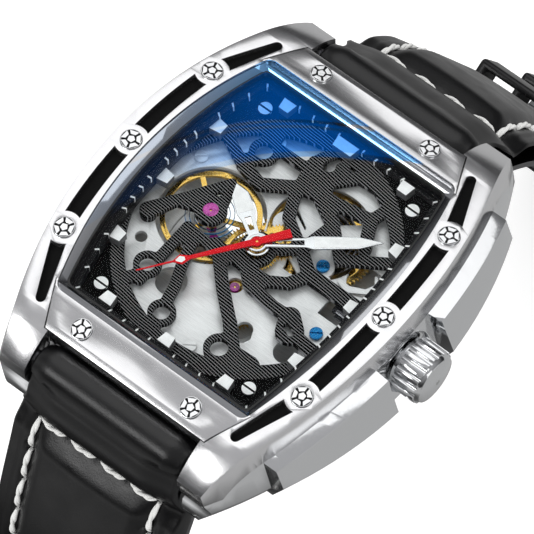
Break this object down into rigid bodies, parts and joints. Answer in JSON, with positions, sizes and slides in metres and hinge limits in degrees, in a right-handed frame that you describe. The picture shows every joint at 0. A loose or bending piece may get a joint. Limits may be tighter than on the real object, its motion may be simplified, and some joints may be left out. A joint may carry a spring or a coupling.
{
  "type": "skeleton wristwatch",
  "caption": "Tonneau skeleton wristwatch with screwed bezel, open movement, glass back, ribbed crown between guards and a padded two-piece leather strap, unbuckled and standing.",
  "frame": {"origin": "centre of the outer face of the back glass", "axes": "+Z out of the dial, +Y towards 12 o'clock, +X towards the crown"},
  "size_m": [0.0474, 0.1725, 0.0763],
  "materials": {
    "steel_brushed": "brushed",
    "steel_polished": "polished",
    "black_plate": "satin",
    "white_paint": "satin",
    "red_paint": "gloss",
    "gold_metal": "polished",
    "bridge_metal": "brushed",
    "blue_steel": "polished",
    "dark_steel": "satin",
    "ruby": "polished",
    "sapphire": "polished",
    "black_rubber": "matt",
    "grey_plastic": "matt",
    "black_leather": "smooth",
    "grey_lining": "matt"
  },
  "bodies": {
    "case": {"mid_case": "steel_polished", "bezel_rail_left": "steel_brushed", "bezel_rail_right": "steel_brushed", "bezel_end_top": "steel_brushed", "bezel_end_bottom": "steel_brushed", "bezel_screws": "steel_polished", "slot_inserts": "black_rubber", "crystal_ring": "steel_polished", "front_crystal": "sapphire", "crystal_gasket": "black_rubber", "flange": "black_plate", "hour_markers": "white_paint", "dial_plate": "black_plate", "dial_screws": "white_paint", "movement_ring": "grey_plastic", "main_plate": "bridge_metal", "train_bridge": "bridge_metal", "pallet_bridge": "bridge_metal", "balance_cock": "black_plate", "barrel_arbor": "dark_steel", "jewels": "ruby", "bridge_screws": "blue_steel", "yoke_lever": "white_paint", "rotor_bearing": "dark_steel", "rotor_screw": "blue_steel", "case_back": "steel_brushed", "back_crystal": "sapphire", "back_gasket": "black_rubber", "back_screws": "steel_polished", "crown_tube": "steel_polished", "spring_bar_upper": "dark_steel", "spring_bar_lower": "dark_steel"},
    "seconds": {"fourth_wheel": "gold_metal", "second_hand": "red_paint"},
    "third": {"third_wheel": "gold_metal"},
    "minutes": {"centre_wheel": "gold_metal", "cannon_pinion": "gold_metal", "minute_hand": "steel_polished"},
    "going_barrel": {"barrel": "gold_metal", "mainspring": "dark_steel"},
    "escape": {"escape_wheel": "gold_metal"},
    "motion_wheel": {"minute_wheel": "gold_metal"},
    "hours": {"hour_wheel": "gold_metal", "hour_hand": "steel_polished"},
    "balance": {"balance_wheel": "gold_metal", "hairspring": "blue_steel"},
    "fork": {"pallet_fork": "dark_steel"},
    "winding_rotor": {"rotor": "bridge_metal"},
    "stem_gear": {"winding_pinion": "dark_steel"},
    "crown_and_stem": {"crown": "steel_polished", "winding_stem": "dark_steel"},
    "upper_strap": {"strap_upper": "black_leather", "strap_upper_lining": "grey_lining", "fixed_keeper": "black_leather", "buckle_bar": "dark_steel"},
    "lower_strap": {"strap_lower": "black_leather", "strap_lower_lining": "grey_lining"},
    "loop": {"free_keeper": "black_leather"},
    "buckle": {"buckle_frame": "steel_polished"},
    "tang": {"buckle_tang": "steel_polished"}
  },
  "joints": [
    {"name": "seconds_turn", "type": "hinge", "parent": "case", "child": "seconds", "pos_m": [0, 0, 0.0046], "axis": [0, 0, -1], "continuous": true},
    {"name": "third_turn", "type": "hinge", "parent": "case", "child": "third", "pos_m": [0.00061, -0.00466, 0.0051], "axis": [0, 0, -1], "continuous": true},
    {"name": "minutes_turn", "type": "hinge", "parent": "case", "child": "minutes", "pos_m": [0, 0, 0.0065], "axis": [0, 0, -1], "continuous": true},
    {"name": "barrel_turn", "type": "hinge", "parent": "case", "child": "going_barrel", "pos_m": [0.0038, 0.00623, 0.0055], "axis": [0, 0, -1], "continuous": true},
    {"name": "escape_turn", "type": "hinge", "parent": "case", "child": "escape", "pos_m": [-0.00392, -0.00245, 0.0054], "axis": [0, 0, -1], "continuous": true},
    {"name": "motion_wheel_turn", "type": "hinge", "parent": "case", "child": "motion_wheel", "pos_m": [0.00112, 0.00265, 0.0075], "axis": [0, 0, -1], "continuous": true},
    {"name": "hours_turn", "type": "hinge", "parent": "case", "child": "hours", "pos_m": [0, 0, 0.0078], "axis": [0, 0, -1], "continuous": true},
    {"name": "balance_swing", "type": "hinge", "parent": "case", "child": "balance", "pos_m": [-0.0071, 0.0006, 0.0069], "axis": [0, 0, -1], "range_deg": [-270, 270]},
    {"name": "fork_rock", "type": "hinge", "parent": "case", "child": "fork", "pos_m": [-0.00538, -0.00105, 0.0054], "axis": [0, 0, -1], "range_deg": [-5, 5]},
    {"name": "rotor_turn", "type": "hinge", "parent": "case", "child": "winding_rotor", "pos_m": [0, 0, 0.0024], "axis": [0, 0, 1], "continuous": true},
    {"name": "crown_turn", "type": "hinge", "parent": "case", "child": "stem_gear", "pos_m": [0.0119, 0, 0.007], "axis": [1, 0, 0], "continuous": true},
    {"name": "crown_pull", "type": "slide", "parent": "stem_gear", "child": "crown_and_stem", "axis": [1, 0, 0], "range_m": [0, 0.0015]},
    {"name": "upper_strap_swing", "type": "hinge", "parent": "case", "child": "upper_strap", "pos_m": [0, 0.0245, 0.0062], "axis": [-1, 0, 0], "range_deg": [-50, 30]},
    {"name": "lower_strap_swing", "type": "hinge", "parent": "case", "child": "lower_strap", "pos_m": [0, -0.0245, 0.0062], "axis": [1, 0, 0], "range_deg": [-65, 12]},
    {"name": "loop_slide", "type": "slide", "parent": "upper_strap", "child": "loop", "axis": [0, 0.515, -0.8572], "range_m": [-0.004, 0.008]},
    {"name": "buckle_swing", "type": "hinge", "parent": "upper_strap", "child": "buckle", "pos_m": [0, 0.06467, -0.06066], "axis": [1, 0, 0], "range_deg": [-60, 30]},
    {"name": "tang_swing", "type": "hinge", "parent": "buckle", "child": "tang", "pos_m": [0, 0.06467, -0.06066], "axis": [1, 0, 0], "range_deg": [0, 50]}
  ],
  "couplings": [
    {"joint": "third_turn", "follows": "seconds_turn", "ratio": -0.13333},
    {"joint": "minutes_turn", "follows": "seconds_turn", "ratio": 0.016667},
    {"joint": "barrel_turn", "follows": "seconds_turn", "ratio": -0.0020833},
    {"joint": "escape_turn", "follows": "seconds_turn", "ratio": -10},
    {"joint": "motion_wheel_turn", "follows": "seconds_turn", "ratio": -0.0055556},
    {"joint": "hours_turn", "follows": "seconds_turn", "ratio": 0.0013889}
  ]
}
